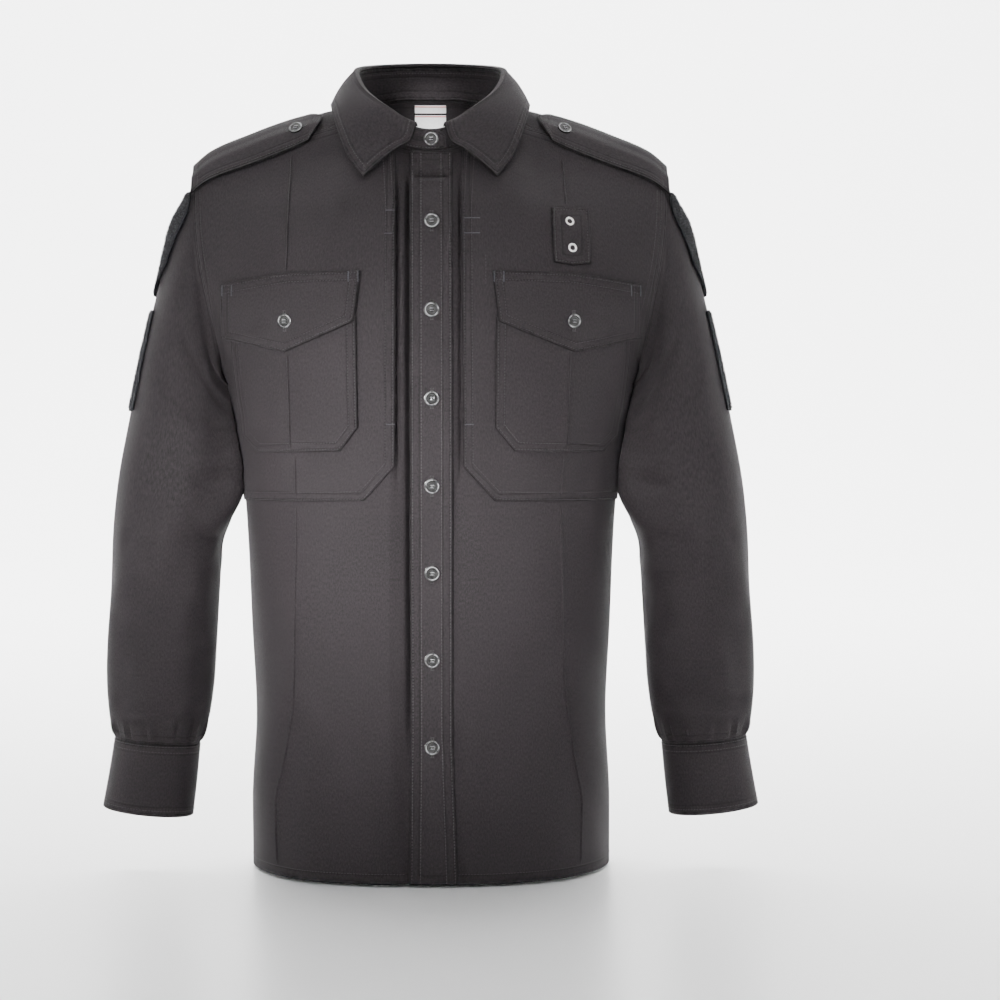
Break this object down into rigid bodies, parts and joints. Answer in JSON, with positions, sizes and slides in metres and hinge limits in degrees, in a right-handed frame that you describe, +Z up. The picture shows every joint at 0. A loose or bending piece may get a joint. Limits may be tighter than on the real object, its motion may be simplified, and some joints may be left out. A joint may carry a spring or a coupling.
{
  "type": "long-sleeved uniform work shirt",
  "caption": "Black twill uniform shirt, filled out as worn but empty: buttoned front, collar, shoulder straps, flapped pockets, badge tab, loop panels and buttoned cuffs.",
  "frame": {"origin": "centre of the neck's base, where the collar rests on the wearer", "axes": "+Z up along the body, -Y out of the buttoned front, +X to the wearer's left"},
  "size_m": [0.65, 0.2515, 0.8015],
  "materials": {
    "back": "fine matt twill",
    "badge_tab": "fine matt twill",
    "care_label": "smooth woven",
    "chest_overlay_left": "fine matt twill",
    "chest_overlay_right": "fine matt twill",
    "collar_leaf": "fine matt twill",
    "collar_stand": "fine matt twill",
    "cuff_button_left": "glossy",
    "cuff_button_right": "glossy",
    "cuff_left": "fine matt twill",
    "cuff_right": "fine matt twill",
    "epaulette_button_left": "glossy",
    "epaulette_button_right": "glossy",
    "epaulette_left": "fine matt twill",
    "epaulette_right": "fine matt twill",
    "eyelet_1": "nickel plate",
    "eyelet_2": "nickel plate",
    "front_left": "fine matt twill",
    "front_right": "fine matt twill",
    "placket": "fine matt twill",
    "placket_button_1": "glossy",
    "placket_button_2": "glossy",
    "placket_button_3": "glossy",
    "placket_button_4": "glossy",
    "placket_button_5": "glossy",
    "placket_button_6": "glossy",
    "placket_button_7": "glossy",
    "pocket_button_left": "glossy",
    "pocket_button_right": "glossy",
    "pocket_flap_left": "fine matt twill",
    "pocket_flap_right": "fine matt twill",
    "pocket_left": "fine matt twill",
    "pocket_right": "fine matt twill",
    "shield_loop_left": "napped loop tape",
    "shield_loop_right": "napped loop tape",
    "size_label": "smooth woven",
    "sleeve_left": "fine matt twill",
    "sleeve_right": "fine matt twill",
    "sleeve_vent_left": "fine matt twill",
    "sleeve_vent_right": "fine matt twill",
    "stand_button": "glossy",
    "tape_loop_left": "napped loop tape",
    "tape_loop_right": "napped loop tape",
    "yoke": "fine matt twill"
  },
  "bodies": {
    "root": {"back": "back", "badge_tab": "badge_tab", "care_label": "care_label", "chest_overlay_left": "chest_overlay_left", "chest_overlay_right": "chest_overlay_right", "collar_leaf": "collar_leaf", "collar_stand": "collar_stand", "cuff_button_left": "cuff_button_left", "cuff_button_right": "cuff_button_right", "cuff_left": "cuff_left", "cuff_right": "cuff_right", "epaulette_button_left": "epaulette_button_left", "epaulette_button_right": "epaulette_button_right", "epaulette_left": "epaulette_left", "epaulette_right": "epaulette_right", "eyelet_1": "eyelet_1", "eyelet_2": "eyelet_2", "front_left": "front_left", "front_right": "front_right", "placket": "placket", "placket_button_1": "placket_button_1", "placket_button_2": "placket_button_2", "placket_button_3": "placket_button_3", "placket_button_4": "placket_button_4", "placket_button_5": "placket_button_5", "placket_button_6": "placket_button_6", "placket_button_7": "placket_button_7", "pocket_button_left": "pocket_button_left", "pocket_button_right": "pocket_button_right", "pocket_flap_left": "pocket_flap_left", "pocket_flap_right": "pocket_flap_right", "pocket_left": "pocket_left", "pocket_right": "pocket_right", "shield_loop_left": "shield_loop_left", "shield_loop_right": "shield_loop_right", "size_label": "size_label", "sleeve_left": "sleeve_left", "sleeve_right": "sleeve_right", "sleeve_vent_left": "sleeve_vent_left", "sleeve_vent_right": "sleeve_vent_right", "stand_button": "stand_button", "tape_loop_left": "tape_loop_left", "tape_loop_right": "tape_loop_right", "yoke": "yoke"}
  },
  "joints": []
}
